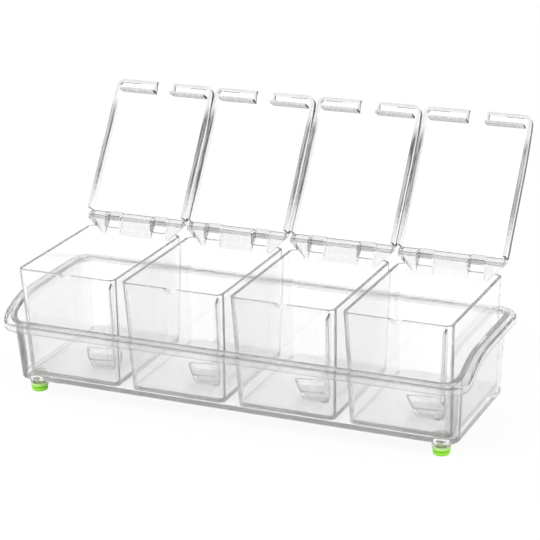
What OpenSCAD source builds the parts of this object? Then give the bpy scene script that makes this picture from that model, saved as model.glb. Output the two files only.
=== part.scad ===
/* [Boxes] */
// Width of one box over its open rim
box_top_w = 74.5; // [60:0.5:90]
// Depth of one box, front to back, over its open rim
box_top_d = 103; // [80:0.5:120]
// How much narrower the foot of a box is than its rim, in width
box_taper_w = 5.3; // [2:0.1:8]
// How much shorter the foot of a box is than its rim, front to back
box_taper_d = 8.5; // [2:0.1:12]
// Height of a box from its foot to its rim
box_h = 78; // [50:1:100]
// Wall of a box
box_wall = 2.3; // [1.5:0.1:3]
// Floor of a box
box_floor_t = 3; // [2:0.1:4]
// Radius of the upright corners of a box at its rim
box_corner_r = 5.5; // [4:0.5:9]
// Radius of the upright corners of a box at its foot
box_foot_r = 5; // [4:0.5:8]
// Softening round the bottom edge of a box
box_edge = 1.2; // [0.5:0.1:2]
// Gap between two boxes at their rims
box_gap = 4.8; // [1:0.1:12]
// Width of the thumb notch in the front rim, where a spoon handle lies
notch_w = 10.5; // [8:0.5:14]
// Depth of the notch in the front rim, at the outer face
notch_depth = 2.8; // [2:0.1:4]
// Depth of the notch at the inner face, where its scooped floor runs out
notch_inner = 0.9; // [0.4:0.1:2]

/* [Lids] */
// Height of a closed lid above the rim of its box, at the hinge side
lid_h = 9.2; // [8.5:0.1:11]
// How far the top of a lid curves down towards its front edge
lid_drop = 5; // [2:0.1:5.5]
// Length of the curved front stretch of a lid
lid_curve_l = 42; // [20:1:60]
// Thickness of the top of a lid
lid_t = 2; // [1.5:0.1:2.5]
// Thickness of the downturned edge of a lid
lid_wall = 2.3; // [1.5:0.1:3]
// How far the sides of a lid stand out past the box
lid_overhang = 1.15; // [0:0.05:1.5]
// Distance that the front edge of a lid stands back from the front of its box
lid_front_setback = 1.4; // [0:0.1:2]
// Gap between a closed lid and the rim under it
lid_seat_gap = 0.2; // [0.1:0.05:0.5]
// Angle from closed to fully open
lid_open_angle = 124.5; // [95:1:130]
// Distance from the front edge of a lid back to its locating rib
rib_setback = 7; // [5:0.5:12]
// Thickness of the locating rib and of the two spoon guides
rib_t = 1.8; // [1.2:0.1:2.5]
// How far the locating rib reaches below the rim of the box
rib_drop = 3; // [1:0.1:5]
// Clear width of the slot that a spoon handle leaves through
slot_w = 12.7; // [11:0.1:16]

/* [Hinges] */
// Radius of the hinge pin
pin_r = 1; // [0.8:0.05:1.3]
// Radial clearance of the lid on the pin
pin_play = 0.05; // [0.02:0.01:0.1]
// Radius of the lid knuckles that turn on the pin
knuckle_r = 1.9; // [1.8:0.05:2.3]
// Radius of the box lugs that hold the pin
lug_r = 3.8; // [3.2:0.1:4]
// Height of the pin above the rim of the box
hinge_rise = 6; // [5:0.1:7]
// Distance of the pin behind the outside of the back wall
hinge_setback = 2; // [1:0.1:4]
// Width of the middle lug
lug_mid_w = 25; // [18:0.5:30]
// Width of each gap between lugs, where a lid knuckle sits
lug_gap_w = 11.5; // [8:0.5:14]
// Side clearance of a lid knuckle in its gap
knuckle_play = 0.35; // [0.2:0.05:0.6]
// Height of the brace below the rim that carries each lug
lug_brace_h = 6; // [3:0.5:10]
// Depth of the shelf on each lug that the open lid leans on
heel_shelf = 1.2; // [0.8:0.1:2]
// Thickness of the heel under that shelf
heel_t = 3; // [2:0.1:4]
// Clearance between the open lid and the shelf
heel_gap = 0.06; // [0.02:0.01:0.3]
// Clearance between the rear edge of a lid and the lugs
lid_rear_gap = 0.3; // [0.2:0.05:1]
// Clearance between the ends of the locating rib and the side walls of the box
rib_side_gap = 0.9; // [0.3:0.1:2]
// How far each end of the hinge pin stands back inside the outer lugs
pin_inset = 0.3; // [0:0.1:1]

/* [Tray] */
// Clearance between the end boxes and the tray walls, at the floor, with the row in the middle
tray_play_l = 4.5; // [0.3:0.1:6]
// How far the row of boxes stands to the right of the middle of the tray
row_shift = 2; // [-3:0.1:3]
// Clearance between the boxes and the front and back walls, at the floor
tray_play_w = 0.6; // [0.3:0.1:3]
// Lean of the end walls of the tray from upright, in degrees
tray_lean_l = 3.2; // [1:0.1:5]
// Lean of the front and back walls of the tray from upright, in degrees
tray_lean_w = 5.3; // [3:0.1:8]
// Wall of the tray
tray_wall = 2.3; // [1.8:0.1:3]
// Floor of the tray
tray_floor_t = 3.5; // [2:0.1:4]
// Radius of the inside upright corners of the tray at its floor
tray_corner_r = 7; // [6:0.5:12]
// Softening round the bottom edge of the tray
tray_edge = 1.6; // [0.5:0.1:2.5]
// Height of the rim above the floor of the tray along the front
rim_front_h = 40.5; // [30:1:50]
// Further height that the rim climbs to along the ends and back
rim_climb = 13; // [8:0.5:20]
// Steepest slope of the climbing rim, in degrees
rim_slope = 34; // [28:1:45]
// Radius of the hollow curve where the rim starts to climb
rim_foot_r = 8; // [6:0.5:12]
// Distance from the front edge of the flange back to the start of the climb
rim_rise_setback = 6; // [4:0.5:14]
// How far the flange of the rim stands out from the front and back walls
flange_reach = 4.7; // [3:0.1:9]
// How much wider the flange is at the two ends
flange_extra_l = 1.5; // [0:0.1:4]
// Thickness of the flange
flange_t = 2; // [1.5:0.1:3]
// Height of the downturned lip at the edge of the flange
lip_h = 6; // [3:0.1:9]
// Thickness of the downturned lip
lip_t = 1.7; // [1.2:0.1:2.5]

/* [Feet] */
// Diameter of the upper tier of a foot
foot_d = 12.2; // [10:0.1:16]
// Diameter of the lower tier of a foot
foot_tread_d = 11.2; // [8:0.1:12]
// Height of a foot below its socket
foot_h = 6; // [5:0.1:10]
// Height of the lower tier of a foot
foot_tread_h = 2.9; // [2:0.1:4]
// Rounding of the edges of a foot
foot_edge = 0.9; // [0.3:0.1:1.2]
// Diameter of the stem that plugs a foot into its socket
foot_stem_d = 6; // [4:0.1:8]
// Outer diameter of the socket under the tray
socket_d = 13.2; // [12:0.1:18]
// Height of the socket under the tray
socket_h = 3.8; // [3:0.1:6]
// Distance of a foot from the end of the tray floor
foot_inset_l = 12.3; // [10:0.5:40]
// Distance of a foot from the front or back edge of the tray floor
foot_inset_w = 8.5; // [8:0.5:20]

/* [Spoons] */
// Length of the bowl of a spoon
bowl_l = 34; // [24:0.5:36]
// Width of the bowl of a spoon
bowl_w = 25; // [20:0.5:26]
// Height of the bowl of a spoon
bowl_h = 8.5; // [6:0.1:12]
// How far the foot of the bowl is drawn in under its rim
bowl_slope = 3.6; // [2:0.1:4]
// Wall of the bowl of a spoon
bowl_wall = 1.4; // [1:0.1:2]
// Rounding of the blunt tip of the bowl
bowl_tip_r = 2.5; // [2:0.1:4]
// Rounding of the two side corners of the bowl
bowl_side_r = 3.5; // [2:0.1:5]
// Rounding of the heel of the bowl
bowl_heel_r = 5.5; // [4:0.1:7]
// How far the bowl is turned, with its tip towards the back
bowl_yaw = 24; // [0:1:30]
// Width of the handle of a spoon
handle_w = 8; // [6:0.1:9]
// Thickness of the handle of a spoon
handle_t = 1.8; // [1.5:0.1:2.2]
// Height at which the handle joins the bowl, below its rim
handle_root = 3.2; // [2:0.1:5]
// Distance of the top of the handle below the rim of the box
handle_below_rim = 6; // [4:0.5:20]
// How far the handle leans towards the side wall
handle_lean_side = 5; // [0:0.5:6]
// How far the handle leans towards the front wall
handle_lean_front = 13.5; // [8:0.5:16]
// Distance of the heel of the bowl from the side wall, at the box floor
bowl_side_gap = 8; // [6.5:0.5:12]
// Distance of the heel of the bowl from the front wall, at the box floor
bowl_front_gap = 18.5; // [15:0.5:24]

/* [Hidden] */
BOXES = [1, 2, 3, 4];
FEET = [["foot_front_left", -1, -1], ["foot_front_right", 1, -1],
        ["foot_back_left", -1, 1], ["foot_back_right", 1, 1]];
CLEAR = [0.86, 0.93, 0.97, 0.45];
RUBBER = "limegreen";
$fn = 48;
FINE = 180;
sliver = 0.01;
over = 1;

// Heights above the surface that the caddy stands on
tray_under_z = foot_h + socket_h;
floor_z = tray_under_z + tray_floor_t;
box_rim_z = floor_z + box_h;
rim_front_z = floor_z + rim_front_h;
rim_back_z = rim_front_z + rim_climb;

// Box sizes at the foot, the inside of its rim, and the step from box to box
box_pitch = box_top_w + box_gap;
box_foot_w = box_top_w - box_taper_w;
box_foot_d = box_top_d - box_taper_d;
box_in_d = box_top_d / 2 - box_wall;
box_in_w = box_top_w / 2 - box_wall;
notch_tilt = atan((notch_depth - notch_inner) / box_wall);
notch_upright = notch_depth * cos(notch_tilt);
notch_r = (notch_w * notch_w / 4 + notch_upright * notch_upright) / (2 * notch_upright);

// Tray sizes inside at the floor, from the row of boxes
row_l = (len(BOXES) - 1) * box_pitch + box_foot_w;
tray_in_l = row_l + 2 * tray_play_l;
tray_in_w = box_foot_d + 2 * tray_play_w;
tray_wall_h = rim_back_z - floor_z;
tray_top_l = tray_in_l + 2 * tray_wall_h * tan(tray_lean_l);
tray_top_w = tray_in_w + 2 * tray_wall_h * tan(tray_lean_w);
tray_top_r = tray_corner_r + tray_wall_h * tan(tray_lean_l);
flange_l = tray_top_l + 2 * (tray_wall + flange_reach + flange_extra_l);
flange_w = tray_top_w + 2 * (tray_wall + flange_reach);
flange_r = tray_top_r + tray_wall + flange_reach;

// Where the climbing rim starts, turns over and levels out
rim_rise_y = rim_rise_setback - flange_w / 2;
rim_crest_r = rim_climb / (1 - cos(rim_slope)) - rim_foot_r;
rim_crest_y = rim_rise_y + (rim_foot_r + rim_crest_r) * sin(rim_slope);

// Hinge axis and lid edges, from the centre of a box and its rim
hinge_y = box_top_d / 2 + hinge_setback;
lid_w = box_top_w + 2 * lid_overhang;
lid_front_y = lid_front_setback - box_top_d / 2;
lid_rear_y = min(box_in_d, hinge_y - lug_r) - lid_rear_gap;
lid_curve_y = lid_front_y + lid_curve_l;
lid_arch_r = (lid_curve_l * lid_curve_l + lid_drop * lid_drop) / (2 * lid_drop);
lid_front_h = lid_h - lid_drop;
rib_reach_x = box_in_w - rib_side_gap;

// Rear top corner of the lid when open, which the heel of each lug stops
rear_dy = lid_rear_y - hinge_y;
rear_dz = lid_h - hinge_rise;
heel_y = hinge_y + rear_dy * cos(lid_open_angle) + rear_dz * sin(lid_open_angle);
heel_z = hinge_rise - rear_dy * sin(lid_open_angle) + rear_dz * cos(lid_open_angle) - heel_gap;
heel_back_y = heel_y + heel_shelf;
lug_outer_x = box_top_w / 2;
gap_x = lug_mid_w / 2 + lug_gap_w / 2;
pin_l = 2 * (lug_outer_x - pin_inset);

// Front edge of the open lid, which sets how far back the caddy reaches
tip_dy = lid_front_y - hinge_y;
tip_dz = lid_front_h - hinge_rise;
lid_tip_y = hinge_y + tip_dy * cos(lid_open_angle) + tip_dz * sin(lid_open_angle);

// The frame's origin lies under the middle of the caddy with its lids open
centre_y = (lid_tip_y - flange_w / 2) / 2;

// Spoon bowl in its box, from the centre of the box
wall_in_foot_w = box_foot_w / 2 - box_wall;
wall_in_foot_d = box_foot_d / 2 - box_wall;
bowl_end_x = wall_in_foot_w - bowl_side_gap;
bowl_end_y = -wall_in_foot_d + bowl_front_gap;
handle_top_h = box_h - box_floor_t - handle_below_rim;

// Rounded rectangle with its centre at the origin
module rounded(l, w, r) {
    square([l - 2 * r, w], center = true);
    square([l, w - 2 * r], center = true);
    for (sx = [-1, 1], sy = [-1, 1])
        translate([sx * (l / 2 - r), sy * (w / 2 - r)]) circle(r);
}

// Upright block that changes size with height; each level is [z, length, width, corner radius]
module leaning_block(levels) {
    hull()
        for (v = levels, sx = [-1, 1], sy = [-1, 1])
            translate([sx * (v[1] / 2 - v[3]), sy * (v[2] / 2 - v[3]), v[0]])
                cylinder(r = v[3], h = sliver);
}

// Side view drawn in Y and Z, drawn out along X about the middle
module along_x(length) {
    rotate([90, 0, 90]) translate([0, 0, -length / 2]) linear_extrude(length) children();
}

// Side view of all that lies below the rim line, lowered square to the line by a drop
module below_rim(drop) {
    low_r = rim_foot_r + drop;
    low_z = rim_front_z - drop;
    join_y = rim_rise_y + low_r * sin(rim_slope);
    join_z = low_z + low_r * (1 - cos(rim_slope));
    far_y = rim_crest_y + flange_w;
    translate([-flange_w - drop, -drop]) square([far_y + flange_w + drop, low_z + drop]);
    difference() {
        translate([rim_rise_y, 0]) square([join_y - rim_rise_y, join_z]);
        translate([rim_rise_y, rim_front_z + rim_foot_r]) circle(low_r, $fn = FINE);
    }
    intersection() {
        translate([rim_rise_y, 0]) square([rim_crest_y - rim_rise_y + rim_foot_r, rim_back_z]);
        translate([rim_crest_y, rim_back_z - rim_crest_r]) circle(rim_crest_r - drop, $fn = FINE);
    }
    translate([rim_crest_y, -drop]) square([far_y - rim_crest_y + drop, rim_back_z]);
}

// Band of the rim between its top line and a drop below it, within a plan outline
module rim_band(drop, inset) {
    intersection() {
        linear_extrude(rim_back_z + over)
            difference() {
                rounded(flange_l, flange_w, flange_r);
                rounded(flange_l - 2 * inset, flange_w - 2 * inset, flange_r - inset);
            }
        along_x(flange_l + over)
            difference() {
                below_rim(0);
                below_rim(drop);
            }
    }
}

// Inside of the tray, open at the top
module tray_hollow() {
    top_z = rim_back_z + over;
    grow_l = 2 * over * tan(tray_lean_l);
    grow_w = 2 * over * tan(tray_lean_w);
    low = tray_edge;
    leaning_block([
        [floor_z, tray_in_l - low, tray_in_w - low, tray_corner_r - low / 2],
        [floor_z + low, tray_in_l + low * tan(tray_lean_l), tray_in_w + low * tan(tray_lean_w),
         tray_corner_r],
        [top_z, tray_top_l + grow_l, tray_top_w + grow_w, tray_top_r]
    ]);
}

// Outside of the tray walls up to the height of the back rim
module tray_body() {
    wide_l = tray_in_l + 2 * tray_wall;
    wide_w = tray_in_w + 2 * tray_wall;
    low = tray_edge;
    leaning_block([
        [tray_under_z, wide_l - 2 * low, wide_w - 2 * low, tray_corner_r + tray_wall - low],
        [tray_under_z + low, wide_l, wide_w, tray_corner_r + tray_wall],
        [rim_back_z - sliver, tray_top_l + 2 * tray_wall, tray_top_w + 2 * tray_wall,
         tray_top_r + tray_wall]
    ]);
}

// Moves its children to the centre of one foot
module at_foot(side, end) {
    x = tray_in_l / 2 + tray_wall - foot_inset_l;
    y = tray_in_w / 2 + tray_wall - foot_inset_w;
    translate([side * x, end * y, 0]) children();
}

// Clear tray: leaning walls, S-curved rim with a turned-down lip, and four foot sockets
module tray() {
    color(CLEAR)
        difference() {
            union() {
                intersection() {
                    tray_body();
                    along_x(flange_l + over) below_rim(0);
                }
                rim_band(flange_t, flange_reach + tray_wall + flange_extra_l);
                rim_band(lip_h, lip_t);
                for (f = FEET)
                    at_foot(f[1], f[2])
                        translate([0, 0, foot_h]) cylinder(d = socket_d, h = socket_h + over);
            }
            tray_hollow();
            for (f = FEET)
                at_foot(f[1], f[2])
                    translate([0, 0, foot_h - over]) cylinder(d = foot_stem_d, h = socket_h + over);
        }
}

// Two-tier rubber foot with the stem that plugs it into its socket
module foot(tint) {
    waist = foot_tread_h;
    tread = foot_tread_d / 2;
    wide = foot_d / 2;
    e = foot_edge;
    color(tint)
        rotate_extrude($fn = 64)
            difference() {
                union() {
                    square([foot_stem_d / 2, foot_h + socket_h]);
                    square([tread - e, waist]);
                    translate([0, e]) square([tread, waist - e]);
                    translate([tread - e, e]) circle(e, $fn = 32);
                    translate([0, waist]) square([wide - e, foot_h - waist]);
                    translate([0, waist + e]) square([wide, foot_h - waist - e]);
                    translate([wide - e, waist + e]) circle(e, $fn = 32);
                }
                translate([-wide, -over]) square([wide, foot_h + socket_h + 2 * over]);
            }
}

// Side view of one hinge lug: the eye, the upright under it and the heel behind it
module lug_side() {
    translate([hinge_y, hinge_rise]) circle(lug_r);
    polygon([
        [box_in_d + sliver, -box_wall], [box_in_d + sliver, 0], [hinge_y - lug_r, hinge_rise],
        [hinge_y, hinge_rise + lug_r / 2], [heel_y - heel_shelf, heel_z], [heel_back_y, heel_z],
        [heel_back_y, heel_z - heel_t], [box_top_d / 2 - box_wall / 4, -lug_brace_h],
        [box_top_d / 2 - box_wall / 2, -lug_brace_h]
    ]);
}

// The three hinge lugs on the back wall, the outer two following the rounded corners
module lugs() {
    along_x(lug_mid_w) lug_side();
    outer_w = lug_outer_x - lug_mid_w / 2 - lug_gap_w;
    cut = box_corner_r;
    for (sx = [-1, 1])
        intersection() {
            translate([sx * (lug_outer_x - outer_w / 2), 0, 0]) along_x(outer_w) lug_side();
            translate([0, 0, -lug_brace_h - over])
                linear_extrude(lug_brace_h + hinge_rise + lug_r + 2 * over)
                    rounded(2 * lug_outer_x, 2 * heel_back_y, box_corner_r);
            translate([0, 0, -cut]) rotate([90, 0, 0])
                translate([0, 0, -2 * heel_back_y])
                    linear_extrude(2 * heel_back_y)
                        polygon([
                            [0, -over], [sx * (lug_outer_x - cut), -over],
                            [sx * (lug_outer_x - cut), cut],
                            [sx * lug_outer_x, cut + hinge_rise - pin_r / 2],
                            [sx * lug_outer_x, 4 * cut], [0, 4 * cut]
                        ]);
        }
}

// Clear box with leaning walls, a front notch and the lugs that hold the hinge pin
module box() {
    e = box_edge;
    color(CLEAR)
        difference() {
            union() {
                leaning_block([
                    [-box_h, box_foot_w - 2 * e, box_foot_d - 2 * e, box_foot_r - e],
                    [e - box_h, box_foot_w, box_foot_d, box_foot_r],
                    [-sliver, box_top_w, box_top_d, box_corner_r]
                ]);
                lugs();
            }
            leaning_block([
                [box_floor_t - box_h, box_foot_w - 2 * box_wall - 2 * e,
                 box_foot_d - 2 * box_wall - 2 * e, box_foot_r - box_wall],
                [box_floor_t + e - box_h, box_foot_w - 2 * box_wall, box_foot_d - 2 * box_wall,
                 box_foot_r - box_wall],
                [0, box_top_w - 2 * box_wall, box_top_d - 2 * box_wall, box_corner_r - box_wall]
            ]);
            translate([0, -box_top_d / 2, notch_r / cos(notch_tilt) - notch_depth])
                rotate([notch_tilt - 90, 0, 0]) cylinder(r = notch_r, h = box_h, center = true);
            translate([0, hinge_y, hinge_rise]) rotate([0, 90, 0])
                cylinder(r = pin_r, h = box_top_w + over, center = true);
        }
}

// Clear pin pressed into the lugs
module hinge_pin() {
    color(CLEAR)
        translate([0, hinge_y, hinge_rise]) rotate([0, 90, 0])
            cylinder(r = pin_r, h = pin_l, center = true);
}

// Side view of a closed lid below its top surface, lowered by a drop
module lid_side(drop, front, rear, base) {
    translate([lid_curve_y, base]) square([rear - lid_curve_y, lid_h - drop - base]);
    intersection() {
        translate([front, base]) square([lid_curve_y - front, lid_h]);
        translate([lid_curve_y, lid_h - lid_arch_r]) circle(lid_arch_r - drop, $fn = 4 * FINE);
    }
}

// Upright prism inside the outline of a lid, its rear corners left square
module lid_plan(inset) {
    back_y = lid_rear_y + 2 * box_corner_r;
    translate([0, (lid_front_y + back_y) / 2, -box_h])
        linear_extrude(2 * box_h)
            rounded(lid_w - 2 * inset, back_y - lid_front_y - 2 * inset, box_corner_r - inset);
}

// Locating rib inside the front of a lid and the guides beside the spoon slot
module lid_ribs() {
    rib_y = lid_front_y + rib_setback;
    guide_x = slot_w / 2 + rib_t / 2;
    guide_y = (lid_front_y + lid_wall / 2 + rib_y + rib_t) / 2;
    intersection() {
        along_x(lid_w) lid_side(lid_t / 2, lid_front_y, lid_rear_y, -rib_drop);
        for (sx = [-1, 1]) {
            translate([sx * (rib_reach_x + slot_w / 2) / 2, rib_y + rib_t / 2, 0])
                cube([rib_reach_x - slot_w / 2, rib_t, 4 * lid_h], center = true);
            translate([sx * guide_x, guide_y, 2 * lid_h + lid_seat_gap])
                cube([rib_t, rib_setback + rib_t - lid_wall / 2, 4 * lid_h], center = true);
        }
    }
}

// The two lid knuckles and the webs that join them to the top of the lid
module lid_knuckles() {
    w = lug_gap_w - 2 * knuckle_play;
    for (sx = [-1, 1])
        translate([sx * gap_x, 0, 0])
            along_x(w) {
                translate([hinge_y, hinge_rise]) circle(knuckle_r);
                polygon([
                    [lid_rear_y - over, lid_h], [lid_rear_y - over, lid_h - lid_t],
                    [lid_rear_y, lid_h - 1.3 * lid_t], [hinge_y - knuckle_r, hinge_rise - pin_r / 2],
                    [hinge_y, hinge_rise], [hinge_y + knuckle_r / 3, hinge_rise + 0.94 * knuckle_r],
                    [lid_rear_y + lid_t / 2, lid_h]
                ]);
            }
}

// One lid in its closed place above the rim
module lid_closed() {
    slot_base = lid_seat_gap - over;
    difference() {
        union() {
            difference() {
                intersection() {
                    along_x(lid_w + over) lid_side(0, lid_front_y, lid_rear_y, lid_seat_gap);
                    lid_plan(0);
                }
                intersection() {
                    along_x(lid_w)
                        lid_side(lid_t, lid_front_y, lid_rear_y + over, lid_seat_gap - over);
                    lid_plan(lid_wall);
                }
            }
            lid_ribs();
            lid_knuckles();
        }
        translate([-slot_w / 2, lid_front_y - over, slot_base])
            cube([slot_w, lid_wall + 2 * over, lid_front_h - lid_t - slot_base]);
        translate([0, hinge_y, hinge_rise]) rotate([0, 90, 0])
            cylinder(r = pin_r + pin_play, h = box_top_w, center = true);
    }
}

// One lid as it rests, open and leaning back on the heels of the lugs
module lid() {
    color(CLEAR)
        translate([0, hinge_y, hinge_rise]) rotate([-lid_open_angle, 0, 0])
            translate([0, -hinge_y, -hinge_rise]) lid_closed();
}

// Plan of the bowl: a blunt tip, two side corners and a rounded heel
module bowl_level(z, inset) {
    tip_r = max(bowl_tip_r - inset, bowl_tip_r / 4);
    translate([bowl_tip_r - bowl_l + inset / 2, 0, z]) cylinder(r = tip_r, h = sliver);
    for (s = [-1, 1])
        translate([-bowl_l * 0.46, s * (bowl_w / 2 - bowl_side_r - inset), z]) cylinder(r = bowl_side_r, h = sliver);
    translate([-bowl_heel_r - inset / 5, 0, z]) cylinder(r = bowl_heel_r - inset * 0.62, h = sliver);
}

// Scoop-shaped spoon: a flat-bottomed bowl and an upright strip handle
module spoon() {
    top = bowl_h - sliver;
    color(CLEAR)
        translate([bowl_end_x, bowl_end_y, box_floor_t - box_h]) {
            rotate([0, 0, -bowl_yaw]) difference() {
                hull() {
                    bowl_level(0, bowl_slope);
                    bowl_level(top, 0);
                }
                hull() {
                    bowl_level(bowl_wall, bowl_slope + bowl_wall);
                    bowl_level(bowl_h, bowl_wall);
                }
            }
            handle();
        }
}

// Strip handle that rises from the heel of the bowl and leans into the box corner
module handle() {
    hull() {
        translate([-handle_t, 0, bowl_h - handle_root]) rotate([0, 90, 0])
            cylinder(d = handle_w * 0.7, h = handle_t + bowl_wall, center = true);
        translate([handle_lean_side, -handle_lean_front, handle_top_h - handle_w / 2]) rotate([0, 90, 0])
            cylinder(d = handle_w, h = handle_t, center = true);
    }
}

// Moves its children to one box of the row
module at_box(i) {
    translate([row_shift + (i - (len(BOXES) + 1) / 2) * box_pitch, 0, box_rim_z]) children();
}

translate([0, -centre_y, 0]) {
    tray();
    for (f = FEET)
        at_foot(f[1], f[2]) foot(f[2] < 0 ? RUBBER : CLEAR);
    for (i = BOXES) {
        at_box(i) box();
        at_box(i) lid();
        at_box(i) hinge_pin();
        at_box(i) spoon();
    }
}
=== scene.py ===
"""Clear condiment caddy: a tray on rubber feet, four lift-out boxes, flip lids, pins and spoons.

The pieces are modelled in millimetres in the caddy's own frame, whose y = 0 line runs through the
middle of the tray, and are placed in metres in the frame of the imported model. Each sub-assembly is
a class that holds its sizes, builds its meshes by hand-modelling steps and dresses them.
"""

from __future__ import annotations

import logging
import math
from dataclasses import dataclass
from enum import Enum
from typing import Callable, Iterable

import bmesh
import bpy
from mathutils import Matrix, Vector

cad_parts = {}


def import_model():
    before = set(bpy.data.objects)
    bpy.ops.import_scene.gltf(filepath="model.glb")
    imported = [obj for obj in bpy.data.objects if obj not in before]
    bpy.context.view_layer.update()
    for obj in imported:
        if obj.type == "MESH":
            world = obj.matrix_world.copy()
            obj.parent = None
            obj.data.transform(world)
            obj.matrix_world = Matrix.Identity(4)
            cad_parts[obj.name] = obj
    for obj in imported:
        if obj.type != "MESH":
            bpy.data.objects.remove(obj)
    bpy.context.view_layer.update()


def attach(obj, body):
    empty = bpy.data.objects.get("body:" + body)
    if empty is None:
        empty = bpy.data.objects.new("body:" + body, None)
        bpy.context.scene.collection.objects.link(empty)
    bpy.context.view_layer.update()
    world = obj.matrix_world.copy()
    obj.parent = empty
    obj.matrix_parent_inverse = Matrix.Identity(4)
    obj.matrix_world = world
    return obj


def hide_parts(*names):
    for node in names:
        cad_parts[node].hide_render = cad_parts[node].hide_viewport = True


log = logging.getLogger("caddy")

MM = 0.001
MERGE = 0.002
BORE_LENGTH = 90.0
ROW_TO_FRAME = Vector((0.0, -25.442, 0.0))

Piece = bpy.types.Object
Socket = bpy.types.NodeSocket
Material = bpy.types.Material
Point = tuple[float, float]
Shape = tuple[float, float, float]
Rings = list[list[Vector]]


class Pick(Enum):
    """What edit mode selects."""

    VERTS = "VERT"
    EDGES = "EDGE"
    FACES = "FACE"


class Corner(Enum):
    """The four corners of the tray, as signs along X and Y."""

    FRONT_LEFT = (-1, -1)
    FRONT_RIGHT = (1, -1)
    BACK_LEFT = (-1, 1)
    BACK_RIGHT = (1, 1)


# ---- Modelling bench: steps of hand modelling, with lengths in millimetres ----


def quarter(steps: int) -> list[Point]:
    """Cosine and sine pairs of a quarter turn, both ends included."""
    return [(math.cos(math.pi / 2 * k / steps), math.sin(math.pi / 2 * k / steps)) for k in range(steps + 1)]


def arc(middle: Point, radius: float, angles: Iterable[float]) -> list[Point]:
    """Points on a circle at the given angles, in degrees."""
    turns = [math.radians(angle) for angle in angles]
    return [(middle[0] + radius * math.cos(a), middle[1] + radius * math.sin(a)) for a in turns]


def clear() -> None:
    """Leaves edit mode and deselects every object."""
    if bpy.context.object and bpy.context.object.mode != "OBJECT":
        bpy.ops.object.mode_set(mode="OBJECT")
    bpy.ops.object.select_all(action="DESELECT")


def take(obj: Piece) -> None:
    """Makes one object the only selected and active one.

    Args:
        obj: The object to work on.
    """
    clear()
    obj.select_set(True)
    bpy.context.view_layer.objects.active = obj


def edit(obj: Piece, pick: Pick = Pick.VERTS, action: str = "DESELECT") -> bmesh.types.BMesh:
    """Opens an object in edit mode.

    Args:
        obj: The object to edit.
        pick: The kind of element that is selected.
        action: SELECT to start with everything selected.

    Returns:
        The edit mesh.
    """
    take(obj)
    bpy.ops.object.mode_set(mode="EDIT")
    bpy.ops.mesh.select_mode(type=pick.value)
    bpy.ops.mesh.select_all(action=action)
    return bmesh.from_edit_mesh(obj.data)


def close(obj: Piece) -> Piece:
    """Leaves edit mode.

    Args:
        obj: The object being edited.

    Returns:
        The same object.
    """
    bmesh.update_edit_mesh(obj.data)
    bpy.ops.object.mode_set(mode="OBJECT")
    return obj


def bisect(place: Shape, normal: Shape, **settings: bool) -> None:
    """Cuts the whole edited mesh along a plane."""
    bpy.ops.mesh.select_all(action="SELECT")
    bpy.ops.mesh.bisect(plane_co=place, plane_no=normal, **settings)


def outward(obj: Piece) -> Piece:
    """Merges doubles and turns all faces of a closed piece outwards.

    Args:
        obj: The piece.

    Returns:
        The piece.
    """
    edit(obj, action="SELECT")
    bpy.ops.mesh.remove_doubles(threshold=MERGE)
    bpy.ops.mesh.normals_make_consistent(inside=False)
    return close(obj)


def settle(name: str) -> Piece:
    """Names the primitive just added and applies its place, turn and size.

    Args:
        name: The name of the piece.

    Returns:
        The piece.
    """
    obj = bpy.context.object
    obj.name = obj.data.name = name
    bpy.ops.object.transform_apply(location=True, rotation=True, scale=True)
    return obj


def loft(name: str, rings: Rings) -> Piece:
    """Extrudes a closed outline from ring to ring and caps both ends.

    Args:
        name: The name of the piece.
        rings: Rings of points, all with the same count.

    Returns:
        The closed piece.
    """
    clear()
    bpy.ops.mesh.primitive_circle_add(vertices=len(rings[0]), radius=1.0, fill_type="NGON")
    obj = settle(name)
    bm = edit(obj, Pick.FACES, "SELECT")
    around = bm.verts.layers.int.new("around")
    for index, vert in enumerate(bm.verts):
        vert[around] = index
        vert.co = rings[0][index]
    bmesh.update_edit_mesh(obj.data)
    for ring in rings[1:]:
        bpy.ops.mesh.extrude_region_move()
        bm = bmesh.from_edit_mesh(obj.data)
        around = bm.verts.layers.int.get("around")
        for vert in bm.verts:
            if vert.select:
                vert.co = ring[vert[around]]
        bmesh.update_edit_mesh(obj.data)
    close(obj)
    obj.data.attributes.remove(obj.data.attributes["around"])
    return outward(obj)


def prism(name: str, outline: list[Point], x0: float, x1: float) -> Piece:
    """Extrudes a side view, given in Y and Z, from one place along X to another."""
    return loft(name, [[Vector((x, y, z)) for y, z in outline] for x in (x0, x1)])


def turned(name: str, profile: list[Point], sides: int, middle: Point = (0.0, 0.0)) -> Piece:
    """Turns a profile of radius and height pairs round an upright axis."""
    turns = [(math.cos(math.tau * k / sides), math.sin(math.tau * k / sides)) for k in range(sides)]
    return loft(name, [[Vector((middle[0] + r * c, middle[1] + r * s, z)) for c, s in turns] for r, z in profile])


def block(name: str, low: Shape, high: Shape) -> Piece:
    """Adds a cube primitive and gives it its size and place.

    Args:
        name: The name of the block.
        low: Its lowest corner.
        high: Its highest corner.

    Returns:
        The block, with its place in its mesh.
    """
    clear()
    bpy.ops.mesh.primitive_cube_add(size=1, location=(Vector(low) + Vector(high)) / 2)
    bpy.context.object.scale = Vector(high) - Vector(low)
    return settle(name)


def rod(name: str, middle: Vector, radius: float, length: float, sides: int = 48) -> Piece:
    """Adds a round rod along X.

    Args:
        name: The name of the rod.
        middle: Its middle.
        radius: Its radius.
        length: Its length.
        sides: How many sides it has.

    Returns:
        The rod, with its place in its mesh.
    """
    clear()
    size = {"vertices": sides, "radius": radius, "depth": length}
    bpy.ops.mesh.primitive_cylinder_add(location=middle, rotation=(0.0, math.pi / 2, 0.0), **size)
    return settle(name)


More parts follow.
